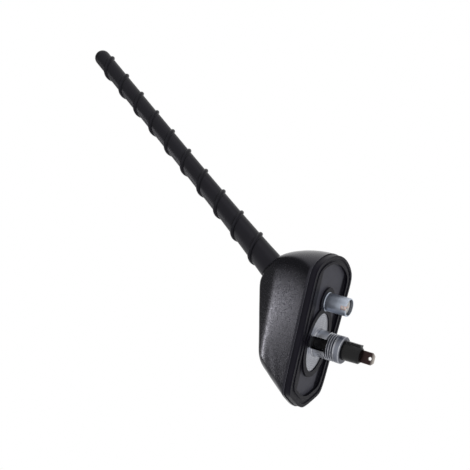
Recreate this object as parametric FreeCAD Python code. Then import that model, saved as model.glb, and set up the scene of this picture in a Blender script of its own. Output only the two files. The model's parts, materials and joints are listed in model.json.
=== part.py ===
import FreeCAD, Part
import math
import os

# Car roof antenna: a raked, screw-off rubber mast on a soft-faceted cover, which is clamped to a car
# roof by a hollow threaded stud. All sizes are in millimetres.
# Frame: the origin is on the stud's axis, in the plane where the gasket meets the roof. +Z points away
# from the roof, +X to the broad rear end, towards which the mast leans.

V = FreeCAD.Vector

# Fits
running_gap = 0.05
face_gap = 0.3

# Cover, outside
skirt_top = 4.6
side_half_width = 21.4
side_toe = 3.1
side_lean = 22.0
ridge_half_width = 13.2
ridge_height = 25.0
shoulder_toe = 4.5
shoulder_lean = 33.0
ridge_softness = 0.2
front_reach = 36.0
front_sweep = 23.0
front_lean = 32.5
rear_reach = 46.2
rear_plan_radius = 33.0
rear_side_radius = 53.0
corner_softness = 1.5
crest_front_setback = 20.5
crest_front_height = 26.4
crest_slope = 19.3
crest_softness = 1.0
edge_softness = 0.75

# Cover, inside
cover_wall = 2.2
cover_ring_count = 14
cover_ring_points = 72
boss_radius = 3.0
front_boss_setback = 14.5
rear_boss_setback = 7.7
rear_boss_y = 11.0

# Mast seat and socket
mast_rake = 33.0
mast_foot_setback = 15.8
mast_foot_height = 35.1
seat_radius = 7.9
socket_boss_radius = 7.2
socket_radius = 4.8
socket_length = 12.4
socket_depth = 0.6
socket_rim_radius = 5.6
socket_rim_height = 1.2
contact_bore_radius = 1.5

# Roof gasket
gasket_height = 3.3
gasket_inset = 0.4
rim_width = 4.5
recess_depth = 1.6
lip_width = 1.4
lip_groove_depth = 0.5
collar_width = 3.0
collar_drop = 1.2
connector_collar_width = 2.35

# Base plate and stud
plate_thickness = 2.0
window_half_length = 15.4
window_half_width = 10.8
window_face_height = 0.9
stud_radius = 7.0
stud_length = 14.9
stud_bore_radius = 4.8
stud_root_fillet = 1.4
stud_chamfer = 0.6
slot_width = 6.5
slot_top = 0.7
slot_length = 8.1

# Supply terminal
housing_flange_radius = 6.4
housing_flange_height = 1.6
housing_nose_length = 9.2
housing_tip_radius = 4.45
housing_chamfer = 0.9
housing_waist = 0.45
housing_waist_top = -4.4
key_width = 3.6
key_height = 0.5
key_length = 7.4
blade_width = 6.3
blade_thickness = 0.8
blade_reach = 31.2
blade_chamfer = 1.4
blade_hole_radius = 0.85
blade_hole_inset = 2.3
blade_shoulder = 2.4
stem_width = 3.0

# Coaxial connector
connector_x = 21.5
connector_radius = 4.8
connector_reach = 11.7
connector_bore_radius = 3.4
connector_mouth_radius = 4.1
connector_mouth_depth = 3.4
connector_face_depth = 1.5
connector_lip_chamfer = 0.3
connector_root_step = 0.25
connector_flange_radius = 6.5
connector_flange_height = 2.0
connector_tail = 3.4
notch_width = 2.2
notch_depth = 3.0
notch_bearing = -100.0
contact_wall = 0.35
contact_half_angle = 38.0
contact_hole_radius = 0.7
pin_radius = 0.65
pin_setback = 0.6

# Circuit board and what it carries
board_front_setback = 19.0
board_rear_setback = 12.2
board_half_width = 12.5
board_corner = 3.0
board_thickness = 1.6
post_height = 4.0
post_radius = 2.8
post_setback = 5.0
post_y = 9.0
shield_front_setback = 1.0
shield_width = 12.0
shield_height = 4.5
shield_wall = 0.4
shield_x = -1.0
choke_radius = 3.2
choke_height = 5.0
choke_x = 12.0
choke_y = -8.0
capacitor_length = 6.0
capacitor_width = 3.2
capacitor_height = 2.6
capacitor_y = 8.0

# Screws
cover_screw_radius = 1.2
cover_screw_length = 9.5
cover_screw_head_radius = 2.7
cover_screw_head_height = 1.5
board_screw_radius = 1.0
board_screw_length = 4.2
board_screw_head_radius = 2.1
board_screw_head_height = 1.5
contact_screw_length = 4.6
contact_screw_head_radius = 2.5
contact_screw_head_height = 1.6
drive_radius = 0.8
drive_depth = 0.8

# Contact strip from the socket to the board
strip_width = 4.0
strip_thickness = 0.5
strip_lug_reach = 5.6
strip_foot_length = 3.5

# Mast
washer_thickness = 0.9
washer_radius = 6.5
mast_length = 187.0
mast_body_radius = 4.75
mast_foot_radius = 7.3
mast_flare_length = 46.0
mast_profile_points = 9
rib_radius = 1.35
rib_height = 1.15
rib_pitch = 17.38
rib_start = 5.0
rib_end = 179.0
rib_bearing = 18.2
rib_bearing_height = 20.9
rib_points_per_turn = 12
ferrule_radius = 4.4
ferrule_length = 17.0
ferrule_socket_depth = 9.0
mast_stud_radius = 3.0
mast_stud_length = 6.6
mast_stud_chamfer = 0.5
rod_radius = 1.7
rod_end_cover = 7.0
winding_radius = 2.3
winding_start = 21.0
winding_end_cover = 14.0

# Heights and places that follow from the sizes above
crest_front_x = crest_front_setback - front_reach
front_boss_x = front_boss_setback - front_reach
rear_boss_x = rear_reach - rear_boss_setback
board_front_x = board_front_setback - front_reach
board_rear_x = rear_reach - board_rear_setback
mast_foot_x = rear_reach - mast_foot_setback
plate_bottom = gasket_height
plate_top = plate_bottom + plate_thickness
board_bottom = plate_top + post_height
board_top = board_bottom + board_thickness
stud_end = -stud_length
mast_axis = V(math.sin(math.radians(mast_rake)), 0, math.cos(math.radians(mast_rake)))
mast_foot = V(mast_foot_x, 0, mast_foot_height)
mast_place = FreeCAD.Placement(mast_foot, FreeCAD.Rotation(V(0, 1, 0), mast_rake))
cover_centre = V(rear_reach - rear_plan_radius, 0, skirt_top)
socket_bottom = -socket_depth - socket_length
thread_depth = mast_stud_length + socket_depth
connector_root_radius = connector_radius + connector_root_step
post_places = [(x, y) for x in (board_front_x + post_setback, board_rear_x - post_setback)
               for y in (-post_y, post_y)]
boss_places = [(front_boss_x, 0.0), (rear_boss_x, -rear_boss_y), (rear_boss_x, rear_boss_y)]


def box(x_low, x_high, y_low, y_high, z_low, z_high):
    return Part.makeBox(x_high - x_low, y_high - y_low, z_high - z_low, V(x_low, y_low, z_low))


def post(x, y, radius, z_low, z_high):
    return Part.makeCylinder(radius, z_high - z_low, V(x, y, z_low))


def turned(points, x=0.0, y=0.0):
    """A solid of revolution about a vertical axis through x, y, from its half outline as (radius, z)."""
    solid = turned_part(points, 0, 360)
    solid.translate(V(x, y, 0))
    return solid


def turned_part(points, start, angle):
    """Part of a solid of revolution about the z axis, from its half outline, over an angle from a start."""
    outline = Part.makePolygon([V(r, 0, z) for r, z in points] + [V(points[0][0], 0, points[0][1])])
    face = Part.Face(outline)
    face.rotate(V(0, 0, 0), V(0, 0, 1), start)
    return face.revolve(V(0, 0, 0), V(0, 0, 1), angle)


def joined(shapes):
    """One solid from overlapping or touching shapes."""
    return shapes[0].multiFuse(shapes[1:]).removeSplitter()


def drive_cut(x, y, z, depth):
    """The six-sided driver recess in a screw head: it starts at height z and goes to z plus depth."""
    turns = [k * math.pi / 3 for k in range(7)]
    corners = [V(x + drive_radius * math.cos(a), y + drive_radius * math.sin(a), z) for a in turns]
    return Part.Face(Part.makePolygon(corners)).extrude(V(0, 0, depth))


# Outer form of the cover
# It is the soft intersection of a few facets. A point's level is its distance outside the form.

def soft_max(values, softness):
    top = max(values)
    return top + softness * math.log(sum(math.exp((value - top) / softness) for value in values))


def facet(bearing, lean, point):
    """A plane through a point, as its outward normal and offset. The lean is back from upright."""
    turn = math.radians(bearing)
    tilt = math.radians(lean)
    normal = V(math.cos(tilt) * math.cos(turn), math.cos(tilt) * math.sin(turn), math.sin(tilt))
    return normal, normal.dot(point)


side_facet = facet(90 + side_toe, side_lean, V(0, side_half_width, skirt_top))
shoulder_facet = facet(90 + shoulder_toe, shoulder_lean, V(0, ridge_half_width, ridge_height))
front_facets = [facet(180 + turn, front_lean, V(-front_reach, 0, skirt_top))
                for turn in (-front_sweep, front_sweep)]
crest_facet = facet(180, 90 - crest_slope, V(crest_front_x, 0, crest_front_height))
seat_facet = facet(0, 90 - mast_rake, mast_foot)


def height_over(plane, point):
    return plane[0].dot(point) - plane[1]


def rear_level(point):
    rise = min(max(point.z - skirt_top, 0.0), 0.95 * rear_side_radius)
    draw_in = rear_side_radius - math.sqrt(rear_side_radius ** 2 - rise ** 2)
    reach = math.hypot(max(point.x - cover_centre.x, 0.0), point.y)
    return reach - (rear_plan_radius - draw_in)


def cover_level(point):
    mirrored = V(point.x, abs(point.y), point.z)
    side = soft_max([height_over(side_facet, mirrored), height_over(shoulder_facet, mirrored)],
                    ridge_softness)
    fronts = [height_over(plane, point) for plane in front_facets]
    walls = soft_max([side, rear_level(point)] + fronts, corner_softness)
    roof = soft_max([height_over(crest_facet, point), height_over(seat_facet, point)], crest_softness)
    return soft_max([walls, roof], edge_softness)


def surface_point(start, direction, inset):
    """Where a ray from inside meets the form, or the form drawn in by an inset."""
    near = 0.0
    far = rear_reach + front_reach
    for step in range(40):
        middle = (near + far) / 2
        if cover_level(start + direction * middle) + inset > 0:
            far = middle
        else:
            near = middle
    return start + direction * near


def closed_curve(points):
    """A smooth closed wire through points, all of such wires with the same parameters."""
    curve = Part.BSplineCurve()
    count = len(points)
    curve.interpolate(Points=points, PeriodicFlag=True, Parameters=[k / count for k in range(count + 1)])
    return Part.Wire([curve.toShape()])


def ring_angles():
    return [2 * math.pi * k / cover_ring_points for k in range(cover_ring_points)]


def outline(height, inset):
    """The form's level outline at a height, drawn in by an inset."""
    start = V(cover_centre.x, 0, height)
    return closed_curve([surface_point(start, V(math.cos(a), math.sin(a), 0), inset)
                         for a in ring_angles()])


def outline_slab(height, inset, z_low, z_high):
    """An upright slab whose plan is the outline at a height."""
    wire = outline(height, inset)
    wire.translate(V(0, 0, z_low - height))
    return Part.Face(wire).extrude(V(0, 0, z_high - z_low))


def cover_form(inset):
    """The form from the skirt's top up to the mast seat, drawn in by an inset all round."""
    seat_centre = mast_foot - mast_axis * inset
    seat_rim = [seat_centre + mast_place.Rotation.multVec(V(math.cos(a), math.sin(a), 0)) * seat_radius
                for a in ring_angles()]
    skirt_rim = [surface_point(cover_centre, V(math.cos(a), math.sin(a), 0), inset)
                 for a in ring_angles()]
    rings = []
    for ring in range(cover_ring_count):
        share = ring / cover_ring_count
        points = []
        for low, high in zip(skirt_rim, seat_rim):
            direction = (low - cover_centre) * (1 - share) + (high - cover_centre) * share
            direction.normalize()
            points.append(surface_point(cover_centre, direction, inset))
        rings.append(closed_curve(points))
    rings.append(closed_curve(seat_rim))
    return Part.makeLoft(rings, True, False)


# Cover

def cover_shell():
    skirt = outline_slab(skirt_top, 0.0, gasket_height, skirt_top)
    outside = joined([skirt, cover_form(0.0)])
    hollow_skirt = outline_slab(skirt_top, cover_wall, gasket_height - 1, skirt_top)
    shell = outside.cut(joined([hollow_skirt, cover_form(cover_wall)]))
    socket_boss = Part.makeCylinder(socket_boss_radius, socket_length, V(0, 0, -socket_length))
    socket_boss.Placement = mast_place
    feet = [socket_boss.common(outside)]
    for x, y in boss_places:
        feet.append(post(x, y, boss_radius, plate_top, crest_front_height).common(outside))
    shell = joined([shell] + feet)
    cutters = [mast_turned([(0, socket_bottom - 1), (socket_radius + running_gap, socket_bottom - 1),
                            (socket_radius + running_gap, -socket_depth - socket_rim_height),
                            (socket_rim_radius + running_gap, -socket_depth - socket_rim_height),
                            (socket_rim_radius + running_gap, 1), (0, 1)])]
    for x, y in boss_places:
        cutters.append(post(x, y, cover_screw_radius + running_gap, gasket_height,
                            gasket_height + cover_screw_length + face_gap))
    return shell.cut(cutters[0].multiFuse(cutters[1:]))


# Roof gasket and base plate

def window_slab(grow, z_low, z_high):
    """An oval slab about the stud's axis, larger than the plate's boss by grow all round."""
    oval = Part.Ellipse(V(0, 0, z_low), window_half_length + grow, window_half_width + grow)
    return Part.Face(Part.Wire([oval.toShape()])).extrude(V(0, 0, z_high - z_low))


def roof_gasket():
    body = outline_slab(skirt_top, gasket_inset, 0, gasket_height)
    rim_inset = gasket_inset + rim_width
    recess = outline_slab(skirt_top, rim_inset, -1, recess_depth)
    groove_outside = outline_slab(skirt_top, gasket_inset + lip_width, -1, lip_groove_depth)
    groove_inside = outline_slab(skirt_top, rim_inset - lip_width, -2, gasket_height)
    body = body.cut(recess).cut(groove_outside.cut(groove_inside))
    collar_face = recess_depth - collar_drop
    window_collar = window_slab(collar_width, collar_face, gasket_height)
    connector_collar = post(connector_x, 0, connector_root_radius + connector_collar_width,
                            collar_face, gasket_height)
    body = joined([body, window_collar, connector_collar])
    body = body.cut(window_slab(running_gap, -1, gasket_height + 1))
    return body.cut(post(connector_x, 0, connector_root_radius + running_gap, -1, gasket_height + 1))


def stud():
    """The hollow stud with its filleted root and chamfered end."""
    root_top = window_face_height + plate_thickness
    root_low = window_face_height - stud_root_fillet
    reach = stud_radius + stud_root_fillet
    bulge = stud_root_fillet * math.sqrt(0.5)
    lines = Part.makePolygon([
        V(stud_radius, 0, root_low), V(stud_radius, 0, stud_end + stud_chamfer),
        V(stud_radius - stud_chamfer, 0, stud_end), V(0, 0, stud_end), V(0, 0, root_top),
        V(reach, 0, root_top), V(reach, 0, window_face_height)])
    fillet = Part.Arc(V(reach, 0, window_face_height), V(reach - bulge, 0, root_low + bulge),
                      V(stud_radius, 0, root_low)).toShape()
    outside = Part.Face(Part.Wire(lines.Edges + [fillet])).revolve(V(0, 0, 0), V(0, 0, 1), 360)
    half = slot_width / 2
    slot = box(-half, half, -reach, reach, slot_top - slot_length, slot_top)
    return outside.cut(slot)


def base_plate():
    plate = outline_slab(plate_top, cover_wall + face_gap, plate_bottom, plate_top)
    solids = [plate, window_slab(0, window_face_height, plate_bottom), stud()]
    for x, y in post_places:
        solids.append(post(x, y, post_radius, plate_top, board_bottom))
    body = joined(solids)
    body = body.cut(post(0, 0, stud_bore_radius, stud_end - 1, plate_top + 1))
    body = body.cut(post(connector_x, 0, connector_root_radius + running_gap, 0, plate_top + 1))
    for x, y in post_places:
        body = body.cut(post(x, y, board_screw_radius + running_gap,
                             board_top - board_screw_length - face_gap, board_bottom + 1))
    gap = running_gap
    for x, y in boss_places:
        body = body.cut(turned([(0, plate_bottom), (cover_screw_head_radius + gap, plate_bottom),
                                (cover_screw_radius + gap, plate_bottom + cover_screw_head_height + gap),
                                (cover_screw_radius + gap, plate_top + 1), (0, plate_top + 1)], x, y))
    return body


# Supply terminal through the stud

def terminal_housing():
    radius = stud_bore_radius - running_gap
    nose_end = stud_end - housing_nose_length
    flange_top = plate_top + housing_flange_height
    waist_bottom = housing_waist_top
    body = turned([
        (0, flange_top), (housing_flange_radius, flange_top), (housing_flange_radius, plate_top),
        (radius, plate_top), (radius, slot_top), (radius - housing_waist, slot_top),
        (radius - housing_waist, waist_bottom), (radius, waist_bottom), (radius, stud_end),
        (housing_tip_radius, nose_end + housing_chamfer),
        (housing_tip_radius - housing_chamfer, nose_end), (0, nose_end)])
    key = box(0, radius + key_height, -key_width / 2, key_width / 2,
              nose_end + housing_chamfer, nose_end + housing_chamfer + key_length)
    body = joined([body, key])
    half = stem_width / 2 + running_gap
    thin = blade_thickness / 2 + running_gap
    stem_slot = box(-half, half, -thin, thin, nose_end - 1, flange_top + 1)
    half = blade_width / 2 + running_gap
    shoulder_slot = box(-half, half, -thin, thin, nose_end - 1, nose_end + blade_shoulder + running_gap)
    return body.cut(stem_slot).cut(shoulder_slot)


def supply_blade():
    nose_end = stud_end - housing_nose_length
    shoulder = nose_end + blade_shoulder
    tip = -blade_reach
    top = board_top + board_thickness
    half = blade_width / 2
    stem = stem_width / 2
    corners = [(-stem, top), (stem, top), (stem, shoulder), (half, shoulder), (half, tip + blade_chamfer),
               (half - blade_chamfer, tip), (blade_chamfer - half, tip), (-half, tip + blade_chamfer),
               (-half, shoulder), (-stem, shoulder)]
    outline_points = [V(x, -blade_thickness / 2, z) for x, z in corners]
    face = Part.Face(Part.makePolygon(outline_points + outline_points[:1]))
    blade = face.extrude(V(0, blade_thickness, 0))
    hole = Part.makeCylinder(blade_hole_radius, 2 * blade_thickness,
                             V(0, -blade_thickness, tip + blade_hole_inset), V(0, 1, 0))
    edge_cut = blade_thickness / 4
    bevel = Part.Face(Part.makePolygon([
        V(0, -blade_thickness, tip - 1), V(0, -edge_cut, tip - 1), V(0, -edge_cut, tip),
        V(0, -blade_thickness / 2, tip + 2 * edge_cut), V(0, -blade_thickness, tip + 2 * edge_cut),
        V(0, -blade_thickness, tip - 1)])).extrude(V(blade_width, 0, 0))
    bevel.translate(V(-half, 0, 0))
    far_bevel = bevel.mirror(V(0, 0, 0), V(0, 1, 0))
    return blade.cut(hole).cut(bevel).cut(far_bevel)


# Coaxial connector

def connector_sleeve():
    end = -connector_reach
    mouth = end + connector_mouth_depth
    flange_top = plate_top + connector_flange_height
    top = plate_top + connector_tail
    lip = connector_lip_chamfer
    body = turned([
        (connector_bore_radius, top), (connector_root_radius, top), (connector_root_radius, flange_top),
        (connector_flange_radius, flange_top), (connector_flange_radius, plate_top),
        (connector_root_radius, plate_top), (connector_root_radius, connector_root_step),
        (connector_radius, 0), (connector_radius, end + lip), (connector_radius - lip, end),
        (connector_mouth_radius, end), (connector_mouth_radius, mouth),
        (connector_bore_radius, mouth)], connector_x)
    notch = box(0, 2 * connector_radius, -notch_width / 2, notch_width / 2, end - 1, end + notch_depth)
    notch.rotate(V(0, 0, 0), V(0, 0, 1), notch_bearing)
    notch.translate(V(connector_x, 0, 0))
    return body.cut(notch)


def connector_contact():
    """A curved spring on the notch's side of the mouth, with a hole behind the notch."""
    end = -connector_reach
    outer = connector_mouth_radius - running_gap
    ring = turned_part([(outer - contact_wall, end + connector_mouth_depth),
                        (outer, end + connector_mouth_depth), (outer, end + face_gap),
                        (outer - contact_wall, end + face_gap)],
                       notch_bearing - contact_half_angle, 2 * contact_half_angle)
    ring.translate(V(connector_x, 0, 0))
    hole = Part.makeCylinder(contact_hole_radius, connector_radius, V(0, 0, 0), V(1, 0, 0))
    hole.rotate(V(0, 0, 0), V(0, 0, 1), notch_bearing)
    hole.translate(V(connector_x, 0, end + notch_depth / 2 + face_gap))
    return ring.cut(hole)


def connector_insulator():
    """White core with a wider head that stands in the mouth, inside the spring."""
    radius = connector_bore_radius - running_gap
    head_radius = connector_mouth_radius - contact_wall - 2 * running_gap
    low = connector_face_depth - connector_reach
    mouth = connector_mouth_depth - connector_reach - face_gap
    top = plate_top + connector_tail
    return turned([(pin_radius + running_gap, low), (head_radius, low), (head_radius, mouth),
                   (radius, mouth), (radius, top), (pin_radius + running_gap, top)], connector_x)


def connector_pin():
    low = pin_setback - connector_reach
    top = board_top + board_thickness
    return turned([(0, low), (pin_radius / 2, low), (pin_radius, low + pin_radius), (pin_radius, top),
                   (0, top)], connector_x)


# Circuit board and what it carries

def circuit_board():
    board = box(board_front_x, board_rear_x, -board_half_width, board_half_width, board_bottom, board_top)
    uprights = [edge for edge in board.Edges if abs(edge.Vertexes[0].Z - edge.Vertexes[1].Z) > 0.1]
    board = board.makeChamfer(board_corner, uprights)
    for x, y in post_places:
        board = board.cut(post(x, y, board_screw_radius + running_gap, board_bottom - 1, board_top + 1))
    board = board.cut(post(connector_x, 0, pin_radius + running_gap, board_bottom - 1, board_top + 1))
    half = stem_width / 2 + running_gap
    thin = blade_thickness / 2 + running_gap
    return board.cut(box(-half, half, -thin, thin, board_bottom - 1, board_top + 1))


def amplifier_shield():
    half_width = shield_width / 2
    rear = shield_x - stem_width
    front = board_front_x + shield_front_setback
    top = board_top + shield_height
    can = box(front, rear, -half_width, half_width, board_top, top)
    inside = box(front + shield_wall, rear - shield_wall, shield_wall - half_width,
                 half_width - shield_wall, board_top - 1, top - shield_wall)
    vents = [post((front + rear) / 2, y, half_width / 6, top - 2 * shield_wall, top + 1)
             for y in (-half_width / 2, 0, half_width / 2)]
    return can.cut(inside).cut(vents[0].multiFuse(vents[1:]))


def supply_choke():
    waist = choke_radius * 0.8
    flange = choke_height / 5
    return turned([(0, board_top), (choke_radius, board_top), (choke_radius, board_top + flange),
                   (waist, board_top + flange), (waist, board_top + choke_height - flange),
                   (choke_radius, board_top + choke_height - flange),
                   (choke_radius, board_top + choke_height), (0, board_top + choke_height)],
                  choke_x, choke_y)


def filter_capacitor():
    half = capacitor_length / 2
    return box(choke_x - half, choke_x + half, capacitor_y - capacitor_width / 2,
               capacitor_y + capacitor_width / 2, board_top, board_top + capacitor_height)


def contact_strip():
    """Bent strip: a lug across the mast's axis, a leg down to the board and a foot on it."""
    across = mast_place.Rotation.multVec(V(1, 0, 0))
    lug_top = mast_foot + mast_axis * socket_bottom
    lug_low = lug_top - mast_axis * strip_thickness
    lug_start = across * -strip_width / 2
    bend = across * strip_lug_reach
    leg_x = lug_top.x + bend.x
    thin = strip_thickness
    inner_bend_z = lug_low.z - (leg_x - thin - lug_low.x) * math.tan(math.radians(mast_rake))
    corners = [lug_top + lug_start, lug_top + bend, V(leg_x, 0, board_top + thin),
               V(leg_x + strip_foot_length, 0, board_top + thin), V(leg_x + strip_foot_length, 0, board_top),
               V(leg_x - thin, 0, board_top), V(leg_x - thin, 0, inner_bend_z), lug_low + lug_start]
    for corner in corners:
        corner.y = -strip_width / 2
    strip = Part.Face(Part.makePolygon(corners + corners[:1])).extrude(V(0, strip_width, 0))
    hole = Part.makeCylinder(contact_bore_radius + running_gap, 3 * strip_thickness,
                             V(0, 0, socket_bottom - 2 * strip_thickness))
    hole.Placement = mast_place
    pin_hole = post(connector_x, 0, pin_radius + running_gap, board_top, board_top + 2 * thin)
    return strip.cut(hole).cut(pin_hole)


# Screws

def cover_screws():
    screws = []
    top = plate_bottom + cover_screw_length
    for x, y in boss_places:
        screw = turned([(0, plate_bottom), (cover_screw_head_radius, plate_bottom),
                        (cover_screw_radius, plate_bottom + cover_screw_head_height),
                        (cover_screw_radius, top), (0, top)], x, y)
        screws.append(screw.cut(drive_cut(x, y, plate_bottom, drive_depth)))
    return Part.makeCompound(screws)


def board_screws():
    screws = []
    head_top = board_top + board_screw_head_height
    for x, y in post_places:
        screw = turned([(0, head_top), (board_screw_head_radius, head_top),
                        (board_screw_head_radius, board_top), (board_screw_radius, board_top),
                        (board_screw_radius, board_top - board_screw_length),
                        (0, board_top - board_screw_length)], x, y)
        screws.append(screw.cut(drive_cut(x, y, head_top - drive_depth, drive_depth)))
    return Part.makeCompound(screws)


def contact_screw():
    head_face = socket_bottom - strip_thickness
    head_end = head_face - contact_screw_head_height
    radius = contact_bore_radius - running_gap
    screw = turned([(0, head_end), (contact_screw_head_radius, head_end),
                    (contact_screw_head_radius, head_face), (radius, head_face),
                    (radius, head_face + contact_screw_length), (0, head_face + contact_screw_length)])
    screw = screw.cut(drive_cut(0, 0, head_end, drive_depth))
    screw.Placement = mast_place
    return screw


# Mast. Its pieces are drawn upright over the foot and then raked.

def mast_turned(points):
    solid = turned(points)
    solid.Placement = mast_place
    return solid


def mast_socket():
    bore = mast_stud_radius + running_gap
    top = -socket_depth
    rim_low = top - socket_rim_height
    return mast_turned([
        (bore, top), (socket_rim_radius, top), (socket_rim_radius, rim_low), (socket_radius, rim_low),
        (socket_radius, socket_bottom), (contact_bore_radius, socket_bottom),
        (contact_bore_radius, -thread_depth), (bore, -thread_depth)])


def foot_washer():
    hole = mast_stud_radius + running_gap
    return mast_turned([(hole, 0), (washer_radius, 0), (washer_radius, washer_thickness),
                        (hole, washer_thickness)])


def mast_radius(height):
    """The mast's outside radius at a height over its foot, without the rib."""
    return mast_body_radius + (mast_foot_radius - mast_body_radius) * math.exp(-height / mast_flare_length)


def mast_body():
    dome_base = mast_length - mast_body_radius
    stations = [washer_thickness + (dome_base - washer_thickness) * k / (mast_profile_points - 1)
                for k in range(mast_profile_points)]
    flank = Part.BSplineCurve()
    flank.interpolate(Points=[V(mast_radius(z), 0, z) for z in stations])
    low = flank.StartPoint
    high = flank.EndPoint
    tip = V(0, 0, dome_base + high.x)
    shoulder = V(high.x * math.sin(math.pi / 4), 0, dome_base + high.x * math.cos(math.pi / 4))
    wire = Part.Wire([
        Part.LineSegment(V(0, 0, low.z), low).toShape(), flank.toShape(),
        Part.Arc(high, shoulder, tip).toShape(), Part.LineSegment(tip, V(0, 0, low.z)).toShape()])
    return Part.Face(wire).revolve(V(0, 0, 0), V(0, 0, 1), 360)


def rib_tubes():
    """The round rib that climbs the mast as a right-hand spiral: a tube for each turn, and two ball ends."""
    turns = math.ceil((rib_end - rib_start) / rib_pitch)
    count = turns * rib_points_per_turn
    path = []
    for k in range(count + 1):
        height = rib_start + (rib_end - rib_start) * k / count
        angle = math.radians(rib_bearing) + 2 * math.pi * (height - rib_bearing_height) / rib_pitch
        radius = mast_radius(height) + rib_height - rib_radius
        path.append(V(radius * math.cos(angle), radius * math.sin(angle), height))
    curve = Part.BSplineCurve()
    curve.interpolate(Points=path)
    tubes = [Part.makeSphere(rib_radius, path[0]), Part.makeSphere(rib_radius, path[-1])]
    for turn in range(turns):
        span = curve.LastParameter - curve.FirstParameter
        low = curve.FirstParameter + span * turn / turns
        edge = curve.toShape(low, low + span / turns)
        start = edge.valueAt(edge.FirstParameter)
        ring = Part.Circle(start, edge.tangentAt(edge.FirstParameter), rib_radius)
        tubes.append(Part.Wire([edge]).makePipeShell([Part.Wire([ring.toShape()])], True, True))
    return tubes


def mast_jacket():
    jacket = mast_body().multiFuse(rib_tubes())
    pocket = turned([
        (0, washer_thickness - 1), (ferrule_radius + running_gap, washer_thickness - 1),
        (ferrule_radius + running_gap, ferrule_length), (rod_radius + running_gap, ferrule_length),
        (rod_radius + running_gap, winding_start), (winding_radius + running_gap, winding_start),
        (winding_radius + running_gap, mast_length - winding_end_cover),
        (rod_radius + running_gap, mast_length - winding_end_cover),
        (rod_radius + running_gap, mast_length - rod_end_cover), (0, mast_length - rod_end_cover)])
    jacket = jacket.cut(pocket)
    jacket.Placement = mast_place
    return jacket


def mast_ferrule():
    foot = washer_thickness
    stud_tip = -mast_stud_length
    socket_floor = ferrule_length - ferrule_socket_depth
    return mast_turned([
        (0, stud_tip), (mast_stud_radius - mast_stud_chamfer, stud_tip),
        (mast_stud_radius, stud_tip + mast_stud_chamfer), (mast_stud_radius, foot),
        (ferrule_radius, foot), (ferrule_radius, ferrule_length),
        (rod_radius + running_gap, ferrule_length), (rod_radius + running_gap, socket_floor),
        (0, socket_floor)])


def mast_core_rod():
    low = ferrule_length - ferrule_socket_depth
    high = mast_length - rod_end_cover
    return mast_turned([(0, low), (rod_radius, low), (rod_radius, high), (0, high)])


def radiator_winding():
    low = winding_start
    high = mast_length - winding_end_cover
    inner = rod_radius + running_gap
    return mast_turned([(inner, low), (winding_radius, low), (winding_radius, high), (inner, high)])


pieces = {
    "cover_shell": cover_shell,
    "roof_gasket": roof_gasket,
    "base_plate": base_plate,
    "terminal_housing": terminal_housing,
    "supply_blade": supply_blade,
    "connector_sleeve": connector_sleeve,
    "connector_contact": connector_contact,
    "connector_insulator": connector_insulator,
    "connector_pin": connector_pin,
    "circuit_board": circuit_board,
    "amplifier_shield": amplifier_shield,
    "supply_choke": supply_choke,
    "filter_capacitor": filter_capacitor,
    "contact_strip": contact_strip,
    "contact_screw": contact_screw,
    "cover_screws": cover_screws,
    "board_screws": board_screws,
    "mast_socket": mast_socket,
    "foot_washer": foot_washer,
    "mast_jacket": mast_jacket,
    "mast_ferrule": mast_ferrule,
    "mast_core_rod": mast_core_rod,
    "radiator_winding": radiator_winding,
}

os.makedirs("parts", exist_ok=True)
for name, make in pieces.items():
    shape = make()
    shape.exportStep(f"parts/{name}.step")
    print(name, len(shape.Solids), shape.isValid(), round(shape.Volume, 1))
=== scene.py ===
import json
import math

import bmesh
import bpy
from mathutils import Matrix, Vector

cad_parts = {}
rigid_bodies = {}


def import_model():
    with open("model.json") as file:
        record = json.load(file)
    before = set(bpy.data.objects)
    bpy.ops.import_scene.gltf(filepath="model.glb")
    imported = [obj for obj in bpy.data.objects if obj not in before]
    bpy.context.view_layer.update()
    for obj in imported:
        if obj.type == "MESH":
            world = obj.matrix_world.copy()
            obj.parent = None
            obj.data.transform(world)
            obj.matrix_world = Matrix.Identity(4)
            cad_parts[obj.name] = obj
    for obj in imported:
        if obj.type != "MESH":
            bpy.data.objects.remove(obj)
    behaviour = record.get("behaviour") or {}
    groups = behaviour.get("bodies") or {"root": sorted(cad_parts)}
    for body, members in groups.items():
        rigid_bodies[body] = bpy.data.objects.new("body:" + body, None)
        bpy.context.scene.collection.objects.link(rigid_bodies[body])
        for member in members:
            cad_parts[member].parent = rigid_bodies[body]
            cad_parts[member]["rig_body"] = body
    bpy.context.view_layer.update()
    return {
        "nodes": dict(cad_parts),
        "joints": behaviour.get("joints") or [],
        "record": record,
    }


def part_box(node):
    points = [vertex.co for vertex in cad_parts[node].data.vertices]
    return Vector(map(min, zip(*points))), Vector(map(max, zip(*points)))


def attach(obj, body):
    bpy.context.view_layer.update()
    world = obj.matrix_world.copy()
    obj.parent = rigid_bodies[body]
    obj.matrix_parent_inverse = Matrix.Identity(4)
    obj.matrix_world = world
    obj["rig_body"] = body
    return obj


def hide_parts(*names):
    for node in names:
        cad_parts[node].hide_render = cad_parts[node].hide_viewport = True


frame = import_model()

# Looks of a car roof antenna. Lengths are in metres, and names ending in _mm are in millimetres. The origin
# lies on the stud's axis at the roof face, with X to the rear and Z up.
MM = 0.001

# Camera: below the roof plane, rolled so that the stud points to the right of the picture. The angles are in
# degrees.
camera_place_mm = (42.95, -403.11, -173.67)
camera_look_up = 30.5
camera_roll = 75.785
camera_lens_mm = 65.18
camera_sensor_mm = 36
camera_near_mm = 10

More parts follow.
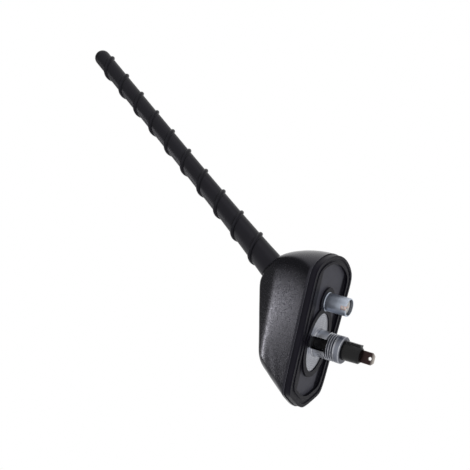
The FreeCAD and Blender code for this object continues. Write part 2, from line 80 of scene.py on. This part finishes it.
# Lights, all aimed at the origin: a strip and a weak softbox above the near side, a weak fill from the rear
# and a broad one from below the near side. Powers are in watts.
lights = {
    "key": {"power": 0.3, "place_mm": (640, -240, -40), "size_mm": (380, 380)},
    "strip": {"power": 0.66, "place_mm": (-160, -115, 685), "size_mm": (320, 30)},
    "front": {"power": 0.8, "place_mm": (120, -620, -320), "size_mm": (500, 500)},
    "softbox": {"power": 0.03, "place_mm": (-105, -290, 630), "size_mm": (300, 200)},
}

# White surroundings. In the gloss they have a dim ceiling, which starts and is full at two cosines of the
# angle from its axis.
world_fill = 0.5
ceiling_gloss = 0.12
ceiling_axis = (0.15, -0.1, 0.98)
ceiling_start = 0.72
ceiling_full = 0.86

# Floor
floor_height_mm = -300
floor_reach_mm = 6000
floor_glow = 0.8

# Threads, each along its own axis: on the hollow stud and on the mast's screw. A groove's widths at its root
# and at its mouth are shares of the pitch, its cutter stands a little past the crests, and its steps make one
# turn. Edges that turn by more than the edge angle, in degrees, are shaded sharp.
stud_thread = {"pitch_mm": 1.25, "low_mm": -11.5, "high_mm": -6.2, "radius_mm": 7.0, "depth_mm": 0.62}
mast_thread = {"pitch_mm": 1.0, "low_mm": -6.1, "high_mm": -1.6, "radius_mm": 3.0, "depth_mm": 0.5}
thread_root_share = 0.13
thread_mouth_share = 0.86
thread_clear_mm = 0.06
thread_steps = 48
thread_edge_angle = 30

# Corners closer than this are merged, and edges shorter than this are dropped
merge_mm = 0.001
sliver_mm = 0.0005

# Fine patterns. On the real one they are 0.05 to 0.3 mm wide, and they are drawn coarser so that they show.
cover_grain_mm = 0.7
rubber_grain_mm = 0.5
casting_grain_mm = 0.45
plastic_grain_mm = 0.4
turning_mark_mm = 0.9
scratch_width_mm = 0.35

# Longer and broader patterns, at about their real size
scratch_length_mm = 4.0
cover_cloud_mm = 9.0
gasket_cloud_mm = 6.0
mast_cloud_mm = 14.0
casting_patch_mm = 5.0
plating_cloud_mm = 2.4
blade_cloud_mm = 1.5
plastic_cloud_mm = 3.0
laminate_weave_mm = 0.6

# Most of a noise's values lie in its span, and scratches show where it rises through theirs. A wave's rings
# are about a ring step apart at a scale of 1.
noise_span = (0.3, 0.7)
scratch_span = (0.58, 0.72)
ring_step = 0.3

# Bands of height, each from where its look is absent to where it is full
cover_rim_mm = (4.2, 3.6)
recess_floor_mm = (1.3, 1.4)
lip_mm = (0.9, 0.6)
legs_top_mm = (-0.3, -1.0)
legs_end_mm = (-6.3, -5.9)
thread_top_mm = (-5.6, -6.0)
shank_top_mm = (-11.6, -12.0)
shank_end_mm = (-14.2, -13.9)
blade_tip_mm = (-29.4, -31.2)

# Bands of distance from an upright axis, in the same order
groove_shade_mm = (6.85, 6.5)
sleeve_mouth_mm = (4.16, 4.12)

# Dust on the recess's floor: its width grows to the rear, and it stops short of the walls, where the dark
# strip left is painted shade. It lies on faces that look down, and dust_facing is a band of the upward part
# of their normals.
dust_middle_mm = 1.3
dust_half_width_mm = 10.6
dust_edge_mm = 1.0
dust_taper = 0.055
dust_facing = (-0.5, -0.8)

# Paler sharp edges, a painted highlight, and on the gasket also wear: how far they reach from a sharp edge,
# and the cosine of the lean on a flat and at a sharp edge
cover_highlight_mm = 0.5
rubber_wear_and_highlight_mm = 0.3
blade_highlight_mm = 0.5
flat_lean = 0.97
edge_lean = 0.75


def srgb(code):
    """A hex colour as linear red, green, blue and alpha."""
    parts = [int(code[k:k + 2], 16) / 255 for k in (1, 3, 5)]
    linear = [c / 12.92 if c <= 0.04045 else ((c + 0.055) / 1.055) ** 2.4 for c in parts]
    return (*linear, 1.0)


def join(tree, sockets, inputs):
    """Fills sockets by name or place, with a number, a vector, a hex colour or another node's output."""
    in_use = [socket for socket in sockets if socket.enabled]
    for key, value in inputs.items():
        socket = in_use[key] if isinstance(key, int) else next(s for s in in_use if s.name == key)
        if isinstance(value, bpy.types.NodeSocket):
            tree.links.new(value, socket)
        else:
            socket.default_value = srgb(value) if isinstance(value, str) else value


def add(tree, kind, inputs=None, output=None, **settings):
    """Adds a node with its settings and links, and gives its named output or else its first one in use."""
    made = tree.nodes.new(kind)
    for name, value in settings.items():
        setattr(made, name, value)
    join(tree, made.inputs, inputs or {})
    usable = (socket for socket in made.outputs if socket.enabled and output in (None, socket.name))
    return next(usable, None)


def new_material(name, constants):
    """A new material with its node tree and its shader, whose constant sockets are set."""
    material = bpy.data.materials.new(name)
    material.use_nodes = True
    shader = material.node_tree.nodes["Principled BSDF"]
    join(material.node_tree, shader.inputs, constants)
    return material, material.node_tree, shader


def grain(tree, size_mm, detail=3.0, stretch=(1, 1, 1)):
    """Blobs about size_mm across, which a stretch under 1 draws out along its axis."""
    place = add(tree, "ShaderNodeTexCoord", output="Object")
    scaled = add(tree, "ShaderNodeMapping", {"Vector": place, "Scale": stretch})
    return add(tree, "ShaderNodeTexNoise", {"Vector": scaled, "Scale": 1 / (size_mm * MM), "Detail": detail})


def at_height(tree, band_mm):
    """A mask that rises from 0 to 1 over a band of height."""
    place = add(tree, "ShaderNodeTexCoord", output="Object")
    height = add(tree, "ShaderNodeSeparateXYZ", {"Vector": place}, output="Z")
    none, full = (side * MM for side in band_mm)
    return add(tree, "ShaderNodeMapRange", {"Value": height, "From Min": none, "From Max": full})


def near_axis(tree, x, y, band_mm):
    """A mask that rises from 0 to 1 over a band of distance from an upright axis."""
    place = add(tree, "ShaderNodeTexCoord", output="Object")
    level = add(tree, "ShaderNodeVectorMath", {0: place, 1: (1, 1, 0)}, operation="MULTIPLY")
    radius = add(tree, "ShaderNodeVectorMath", {0: level, 1: (x, y, 0)}, operation="DISTANCE")
    none, full = (side * MM for side in band_mm)
    return add(tree, "ShaderNodeMapRange", {"Value": radius, "From Min": none, "From Max": full})


def sharp_edges(tree, reach_mm):
    """A mask of the sharp edges: how far a rounded normal leans from the face's own."""
    rounded = add(tree, "ShaderNodeBevel", {"Radius": reach_mm * MM}, samples=6)
    flat = add(tree, "ShaderNodeNewGeometry", output="Normal")
    lean = add(tree, "ShaderNodeVectorMath", {0: rounded, 1: flat}, operation="DOT_PRODUCT")
    return add(tree, "ShaderNodeMapRange", {"Value": lean, "From Min": flat_lean, "From Max": edge_lean})


def coats(tree, color, *layers):
    """Colours laid over one another. A layer is its masks, and then the colour where they are all 1."""
    for first, *others, over in layers:
        cover = first
        for mask in others:
            cover = add(tree, "ShaderNodeMath", {0: cover, 1: mask}, operation="MULTIPLY")
        color = add(tree, "ShaderNodeMix", {"Factor": cover, "A": color, "B": over}, data_type="RGBA")
    return color


def finish(tree, shader, color, matt, rough, span=noise_span, relief=None, relief_mm=0.0, round_mm=0.0):
    """Joins the looks to the shader: a colour, a roughness that goes from one value to another as a pattern
    crosses its span, and a pattern's relief with sharp edges rounded in the shading."""
    looks = {"Base Color": color}
    looks["Roughness"] = add(tree, "ShaderNodeMapRange",
                             {"Value": matt, "From Min": span[0], "From Max": span[1],
                              "To Min": rough[0], "To Max": rough[1]})
    if relief is not None:
        raised = {"Height": relief, "Distance": relief_mm * MM}
        if round_mm:
            raised["Normal"] = add(tree, "ShaderNodeBevel", {"Radius": round_mm * MM}, samples=4)
        looks["Normal"] = add(tree, "ShaderNodeBump", raised)
    join(tree, shader.inputs, looks)


# Materials

# What the black plastics and rubbers share: a faintly violet gloss
black_polymer = {"IOR": 1.5, "Metallic": 0.0, "Specular Tint": "#eeebff"}


def moulded_abs():
    """Black ABS from a spark-eroded mould: a speckled satin sheen, with a painted highlight along its lower
    rim's edges.
    """
    material, tree, shader = new_material("moulded_abs", {**black_polymer, "Specular IOR Level": 0.35})
    fine = grain(tree, cover_grain_mm, detail=2.0)
    broad = grain(tree, cover_cloud_mm, detail=1.0)
    color = coats(tree, "#101013",
                  (broad, "#17171b"),
                  # Painted highlight: paler sharp edges along the cover's lower rim
                  (sharp_edges(tree, cover_highlight_mm), at_height(tree, cover_rim_mm), "#6a6a72"))
    finish(tree, shader, color, fine, (0.155, 0.275), span=(0.36, 0.64), relief=fine, relief_mm=0.007)
    return material


def recess_dust_and_shade(tree):
    """Masks of the dust in the gasket's recess: faces that look down, off the walls and deep enough. The
    dark strip left beside the walls is painted shade.
    """
    normal = add(tree, "ShaderNodeNewGeometry", output="Normal")
    facing = add(tree, "ShaderNodeSeparateXYZ", {"Vector": normal}, output="Z")
    none, full = dust_facing
    level = add(tree, "ShaderNodeMapRange", {"Value": facing, "From Min": none, "From Max": full})
    place = add(tree, "ShaderNodeTexCoord", output="Object")
    along = add(tree, "ShaderNodeSeparateXYZ", {"Vector": place}, output="X")
    across = add(tree, "ShaderNodeSeparateXYZ", {"Vector": place}, output="Y")
    offset = add(tree, "ShaderNodeMath", {0: across, 1: dust_middle_mm * MM}, operation="SUBTRACT")
    aside = add(tree, "ShaderNodeMath", {0: offset}, operation="ABSOLUTE")
    tapered = add(tree, "ShaderNodeMath", {0: along, 1: -dust_taper, 2: aside}, operation="MULTIPLY_ADD")
    shaded_beyond_mm = dust_half_width_mm + dust_edge_mm
    middle = add(tree, "ShaderNodeMapRange",
                 {"Value": tapered, "From Min": shaded_beyond_mm * MM, "From Max": dust_half_width_mm * MM})
    return level, middle, at_height(tree, recess_floor_mm)


def moulded_epdm():
    """EPDM rubber gasket from a mould: satin black, darker at its lips, paler along its sharp edges from wear
    and a painted highlight, and grey with dust in its recess, with painted shade beside the recess's walls."""
    material, tree, shader = new_material("moulded_epdm", {**black_polymer, "Specular IOR Level": 0.1})
    fine = grain(tree, rubber_grain_mm)
    bloom = grain(tree, gasket_cloud_mm, detail=2.0)
    dust = coats(tree, "#45454d", (bloom, "#52525b"))
    color = coats(tree, "#17161c",
                  (bloom, "#1f1e25"),
                  (at_height(tree, lip_mm), "#0c0a14"),
                  # Dust on the recess's floor, kept off the walls; the dark strip beside them is painted
                  # shade
                  (*recess_dust_and_shade(tree), dust),
                  # Paler sharp edges: wear, and a painted highlight
                  (sharp_edges(tree, rubber_wear_and_highlight_mm), "#4c4c55"))
    finish(tree, shader, color, fine, (0.36, 0.5), relief=fine, relief_mm=0.015, round_mm=0.25)
    return material


def overmoulded_rubber():
    """Rubber moulded over the mast's core: near black, with a soft satin sheen from a polished mould."""
    material, tree, shader = new_material("overmoulded_rubber", {**black_polymer, "Specular IOR Level": 0.2})
    fine = grain(tree, rubber_grain_mm)
    bloom = grain(tree, mast_cloud_mm, detail=2.0)
    color = coats(tree, "#101012", (bloom, "#17171a"))
    finish(tree, shader, color, fine, (0.34, 0.44), relief=fine, relief_mm=0.012)
    return material


def cut_sheet_rubber():
    """Rubber washer cut from sheet: an even, matt black."""
    material, tree, shader = new_material("cut_sheet_rubber", {"IOR": 1.5, "Metallic": 0.0})
    fine = grain(tree, rubber_grain_mm)
    color = coats(tree, "#1a1a1b", (fine, "#232325"))
    finish(tree, shader, color, fine, (0.55, 0.7), relief=fine, relief_mm=0.015, round_mm=0.1)
    return material


def die_cast_zinc():
    """Zinc from a die, machined on its boss: grey metal with fine arcs, handling scratches and dull patches,
    a painted highlight on its legs, a darker shank and painted shade deep in the thread's grooves."""
    material, tree, shader = new_material("die_cast_zinc", {"Metallic": 1.0})
    skin = grain(tree, casting_grain_mm, detail=5.0)
    patches = grain(tree, casting_patch_mm, detail=2.0)
    drawn_out = (scratch_width_mm / scratch_length_mm, 1, 1)
    streaks = grain(tree, scratch_width_mm, detail=0.0, stretch=drawn_out)
    none, full = scratch_span
    scratches = add(tree, "ShaderNodeMapRange", {"Value": streaks, "From Min": none, "From Max": full})
    place = add(tree, "ShaderNodeTexCoord", output="Object")
    arcs = add(tree, "ShaderNodeTexWave",
               {"Vector": place, "Scale": ring_step / (turning_mark_mm * MM), "Distortion": 1.5},
               output="Fac", wave_type="RINGS", rings_direction="Z")
    relief = add(tree, "ShaderNodeMath", {0: skin, 1: arcs}, operation="ADD")
    color = coats(tree, "#82848c",
                  (arcs, "#a8aab1"),
                  (scratches, arcs, "#c9cbd0"),
                  # Painted highlight: the legs painted near white
                  (at_height(tree, legs_top_mm), at_height(tree, legs_end_mm), "#eef1f8"),
                  (at_height(tree, shank_top_mm), at_height(tree, shank_end_mm), "#797c86"),
                  # Painted shade: darker deep in the thread's grooves
                  (at_height(tree, thread_top_mm), near_axis(tree, 0, 0, groove_shade_mm), "#5e6068"))
    finish(tree, shader, color, patches, (0.3, 0.42), relief=relief, relief_mm=0.003, round_mm=0.12)
    return material


def nickel_plated_brass():
    """Turned brass sleeve with nickel on it: a bluish satin with faint clouds, and painted shade inside its
    mouth.
    """
    material, tree, shader = new_material("nickel_plated_brass", {"Metallic": 1.0})
    cloud = grain(tree, plating_cloud_mm, detail=2.0)
    low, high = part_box("connector_sleeve")
    shaded_mouth = near_axis(tree, (low[0] + high[0]) / 2, (low[1] + high[1]) / 2, sleeve_mouth_mm)
    # Painted shade: greyer inside the sleeve's mouth
    color = coats(tree, "#b6bfce", (cloud, "#c6cedb"), (shaded_mouth, "#8b9099"))
    finish(tree, shader, color, cloud, (0.32, 0.4))
    return material


def tarnished_brass():
    """Tinned brass blade that heat has tarnished: dark brown, with a painted highlight on its tip and edges.
    """
    material, tree, shader = new_material("tarnished_brass", {"Metallic": 1.0})
    cloud = grain(tree, blade_cloud_mm)
    # Painted highlight: paler at the blade's tip and sharp edges
    highlighted = add(tree, "ShaderNodeMath", {0: at_height(tree, blade_tip_mm), 1: sharp_edges(tree, blade_highlight_mm)},
               operation="MAXIMUM")
    color = coats(tree, "#241c1e", (cloud, "#3a2d2c"), (highlighted, "#b9b2ab"))
    finish(tree, shader, color, cloud, (0.24, 0.4), relief=cloud, relief_mm=0.004, round_mm=0.1)
    return material


def bright_metal(name, low, high, rough):
    """Plated or turned metal in two near colours: a slightly cloudy shine."""
    material, tree, shader = new_material(name, {"Metallic": 1.0})
    cloud = grain(tree, plating_cloud_mm, detail=2.0)
    finish(tree, shader, coats(tree, low, (cloud, high)), cloud, rough)
    return material


def smooth_body(name, low, high, rough, gloss=0.5):
    """A smooth plastic, resin or ceramic in two near colours: an even look with a faint orange peel."""
    material, tree, shader = new_material(name, {"IOR": 1.52, "Metallic": 0.0, "Specular IOR Level": gloss})
    peel = grain(tree, plastic_grain_mm)
    cloud = grain(tree, plastic_cloud_mm, detail=1.0)
    color = coats(tree, low, (cloud, high))
    finish(tree, shader, color, peel, rough, relief=peel, relief_mm=0.008, round_mm=0.15)
    return material


def board_laminate():
    """Glass-fibre laminate with green mask: a faint woven grid under a smooth skin."""
    material, tree, shader = new_material("board_laminate", {"IOR": 1.55, "Metallic": 0.0})
    place = add(tree, "ShaderNodeTexCoord", output="Object")
    scale = 1 / (laminate_weave_mm * MM)
    weave = add(tree, "ShaderNodeTexBrick", {"Vector": place, "Scale": scale}, output="Fac")
    color = coats(tree, "#1d5a30", (weave, "#256b3a"))
    finish(tree, shader, color, weave, (0.28, 0.36), relief=weave, relief_mm=0.01)
    return material


materials = {
    "cover_plastic": moulded_abs(),
    "gasket_rubber": moulded_epdm(),
    "mast_rubber": overmoulded_rubber(),
    "washer_rubber": cut_sheet_rubber(),
    "zinc_casting": die_cast_zinc(),
    "connector_metal": nickel_plated_brass(),
    "blade_metal": tarnished_brass(),
    "board_laminate": board_laminate(),
    # Tin over copper: a warm, pinkish shine
    "contact_copper": bright_metal("tinned_copper", "#d3bab2", "#dfccc6", (0.3, 0.4)),
    # Bare brass from the lathe: a yellow shine
    "brass_parts": bright_metal("turned_brass", "#b79a55", "#c9ad6a", (0.22, 0.34)),
    # Tinned sheet steel: a light grey shine
    "tinned_steel": bright_metal("tinned_sheet", "#b4b6b8", "#c6c8ca", (0.2, 0.34)),
    # Zinc on steel screws: a slightly duller, bluish grey
    "screw_steel": bright_metal("zinc_plated_steel", "#a8a9ad", "#bcbdc0", (0.25, 0.38)),
    # Black nylon from a polished mould: even, with a dim shine
    "terminal_plastic": smooth_body("moulded_nylon_black", "#0c0c0e", "#151517", (0.24, 0.34), 0.22),
    # PTFE turned from rod: a waxy white
    "insulator_plastic": smooth_body("turned_ptfe_white", "#efeeea", "#f8f7f4", (0.4, 0.5)),
    # Sintered ferrite: a matt charcoal
    "choke_ferrite": smooth_body("sintered_ferrite", "#232322", "#2f2f2d", (0.5, 0.65)),
    # Epoxy resin from dipping: a glossy ochre
    "capacitor_case": smooth_body("dipped_resin_ochre", "#8d6228", "#9c7034", (0.3, 0.4)),
    # Pultruded glass-fibre rod: a satin straw colour
    "rod_fibreglass": smooth_body("pultruded_fibreglass", "#c9c3a4", "#d6d1b6", (0.35, 0.5)),
}


# Dressing the CAD nodes

slots = {row["node"]: row["material_slot"] for row in frame["record"]["subparts"]}


def paint(piece, slot):
    """Gives a piece the material of its slot alone."""
    piece.data.materials.clear()
    piece.data.materials.append(materials[slot])


for node, piece in frame["nodes"].items():
    paint(piece, slots[node])


def place_in_scene(name, data):
    """A new object in the scene."""
    made = bpy.data.objects.new(name, data)
    bpy.context.scene.collection.objects.link(made)
    return made


def merged_copy(node, name):
    """A copy of a CAD node's mesh, with its loose triangles merged, as a piece of its own."""
    mesh = frame["nodes"][node].data.copy()
    mesh.name = name
    form = bmesh.new()
    form.from_mesh(mesh)
    bmesh.ops.remove_doubles(form, verts=form.verts, dist=merge_mm * MM)
    form.to_mesh(mesh)
    form.free()
    return place_in_scene(name, mesh)


def spiral_groove(thread, place):
    """A V-shaped thread groove: its section is carried round an axis as it climbs, then put in place."""
    form = bmesh.new()
    pitch = thread["pitch_mm"]
    root = thread["radius_mm"] - thread["depth_mm"]
    mouth = thread["radius_mm"] + thread_clear_mm
    half_root = thread_root_share * pitch / 2
    half_mouth = thread_mouth_share * pitch / 2
    section = [(root, -half_root), (mouth, -half_mouth), (mouth, half_mouth), (root, half_root)]
    corners = [form.verts.new((r * MM, 0, (thread["low_mm"] + z) * MM)) for r, z in section]
    sides = [form.edges.new((corners[k - 1], corners[k])) for k in range(len(corners))]
    turns = (thread["high_mm"] - thread["low_mm"]) / pitch
    climb = (0, 0, pitch * MM / thread_steps)
    bmesh.ops.spin(form, geom=corners + sides, cent=(0, 0, 0), axis=(0, 0, 1), angle=2 * math.pi * turns,
                   dvec=climb, steps=round(turns * thread_steps))
    bmesh.ops.holes_fill(form, edges=[edge for edge in form.edges if edge.is_boundary], sides=len(sides))
    bmesh.ops.transform(form, matrix=place, verts=form.verts)
    bmesh.ops.recalc_face_normals(form, faces=form.faces)
    mesh = bpy.data.meshes.new("thread_cutter")
    form.to_mesh(mesh)
    form.free()
    return place_in_scene("thread_cutter", mesh)


def cut(piece, cutter):
    """Cuts one piece's form out of another's, then drops the cutter."""
    groove = piece.modifiers.new("groove", "BOOLEAN")
    groove.object = cutter
    groove.operation = "DIFFERENCE"
    groove.solver = "EXACT"
    result = bpy.data.meshes.new_from_object(piece.evaluated_get(bpy.context.evaluated_depsgraph_get()))
    piece.modifiers.remove(groove)
    piece.data = result
    bpy.data.objects.remove(cutter)


def shade_by_angle(piece, limit):
    """Smooth shading, except over edges that turn by more than a limit in degrees."""
    form = bmesh.new()
    form.from_mesh(piece.data)
    bmesh.ops.dissolve_degenerate(form, dist=sliver_mm * MM, edges=form.edges)
    for face in form.faces:
        face.smooth = True
    for edge in form.edges:
        edge.smooth = edge.calc_face_angle(math.pi) < math.radians(limit)
    form.to_mesh(piece.data)
    form.free()


def settle(piece, node):
    """Puts a finished piece on the CAD node's body and lets it stand for the node."""
    paint(piece, slots[node])
    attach(piece, frame["nodes"][node]["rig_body"])
    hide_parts(node)


def threaded_piece(node, name, thread, place):
    """A copy of a CAD node with a thread cut into it, which stands for that node."""
    piece = merged_copy(node, name)
    cut(piece, spiral_groove(thread, place))
    shade_by_angle(piece, thread_edge_angle)
    settle(piece, node)


threaded_piece("base_plate", "threaded_plate", stud_thread, Matrix.Identity(4))
turn = next(joint for joint in frame["joints"] if joint["name"] == "mast_turn")
mast_lean = Vector(turn["axis"]).to_track_quat("Z", "Y").to_matrix().to_4x4()
mast_foot = Matrix.Translation(turn["pos_m"]) @ mast_lean
threaded_piece("mast_ferrule", "threaded_ferrule", mast_thread, mast_foot)


# Stage, lights and camera

def area_light(name, power, place_mm, size_mm):
    """A rectangular light that faces the origin."""
    lamp = bpy.data.lights.new(name, "AREA")
    lamp.energy = power
    lamp.shape = "RECTANGLE"
    lamp.size = size_mm[0] * MM
    lamp.size_y = size_mm[1] * MM
    holder = place_in_scene(name, lamp)
    holder.location = Vector(place_mm) * MM
    holder.rotation_mode = "QUATERNION"
    holder.rotation_quaternion = (-holder.location).to_track_quat("-Z", "Y")


def seen_white(tree):
    """1 for a ray from the camera, or one that metal or glass sends on."""
    seen = add(tree, "ShaderNodeLightPath", output="Is Camera Ray")
    for sent_on in ("Is Glossy Ray", "Is Transmission Ray"):
        ray = add(tree, "ShaderNodeLightPath", output=sent_on)
        seen = add(tree, "ShaderNodeMath", {0: seen, 1: ray}, operation="MAXIMUM")
    return seen


def white_world():
    """White to the camera and in the gloss, which also shows a dim ceiling, and an even fill of light."""
    world = bpy.data.worlds.new("studio")
    bpy.context.scene.world = world
    world.use_nodes = True
    tree = world.node_tree
    tree.nodes.clear()
    direction = add(tree, "ShaderNodeTexCoord", output="Generated")
    upward = add(tree, "ShaderNodeVectorMath", {0: direction, 1: ceiling_axis}, operation="DOT_PRODUCT")
    ceiling = add(tree, "ShaderNodeMapRange",
                  {"Value": upward, "From Min": ceiling_start, "From Max": ceiling_full,
                   "To Min": 1.0, "To Max": ceiling_gloss})
    camera_ray = add(tree, "ShaderNodeLightPath", output="Is Camera Ray")
    level = add(tree, "ShaderNodeMath", {0: ceiling, 1: camera_ray}, operation="MAXIMUM")
    fill = add(tree, "ShaderNodeBackground", {"Color": "#ffffff", "Strength": world_fill})
    white = add(tree, "ShaderNodeBackground", {"Color": "#ffffff", "Strength": level})
    mixed = add(tree, "ShaderNodeMixShader", {0: seen_white(tree), 1: fill, 2: white})
    add(tree, "ShaderNodeOutputWorld", {"Surface": mixed})


def floor_paper():
    """Matt white paper: it keeps a shadow, and looks nearly white to the camera and in metal."""
    material, tree, shader = new_material("floor_paper", {"Base Color": "#f2f2f2", "Roughness": 0.9})
    share = add(tree, "ShaderNodeMath", {0: seen_white(tree), 1: floor_glow}, operation="MULTIPLY")
    glow = add(tree, "ShaderNodeEmission", {"Color": "#ffffff", "Strength": 1.0})
    mixed = add(tree, "ShaderNodeMixShader", {0: share, 1: shader.outputs["BSDF"], 2: glow})
    join(tree, tree.nodes["Material Output"].inputs, {"Surface": mixed})
    return material


def pale_floor():
    """A pale floor far below, out of the camera's view. It keeps the object's shadow."""
    form = bmesh.new()
    bmesh.ops.create_grid(form, x_segments=1, y_segments=1, size=floor_reach_mm * MM)
    bmesh.ops.translate(form, verts=form.verts, vec=(0, 0, floor_height_mm * MM))
    mesh = bpy.data.meshes.new("floor")
    form.to_mesh(mesh)
    form.free()
    mesh.materials.append(floor_paper())
    floor = place_in_scene("floor", mesh)


white_world()
pale_floor()
for name, light in lights.items():
    area_light(name, **light)

camera = place_in_scene("camera", bpy.data.cameras.new("camera"))
camera.data.sensor_width = camera_sensor_mm
camera.data.lens = camera_lens_mm
camera.data.clip_start = camera_near_mm * MM
camera.matrix_world = (
    Matrix.Translation(Vector(camera_place_mm) * MM)
    @ Matrix.Rotation(math.radians(90 + camera_look_up), 4, "X")
    @ Matrix.Rotation(math.radians(-camera_roll), 4, "Z"))
bpy.context.scene.camera = camera

bpy.context.scene.view_settings.view_transform = "Standard"
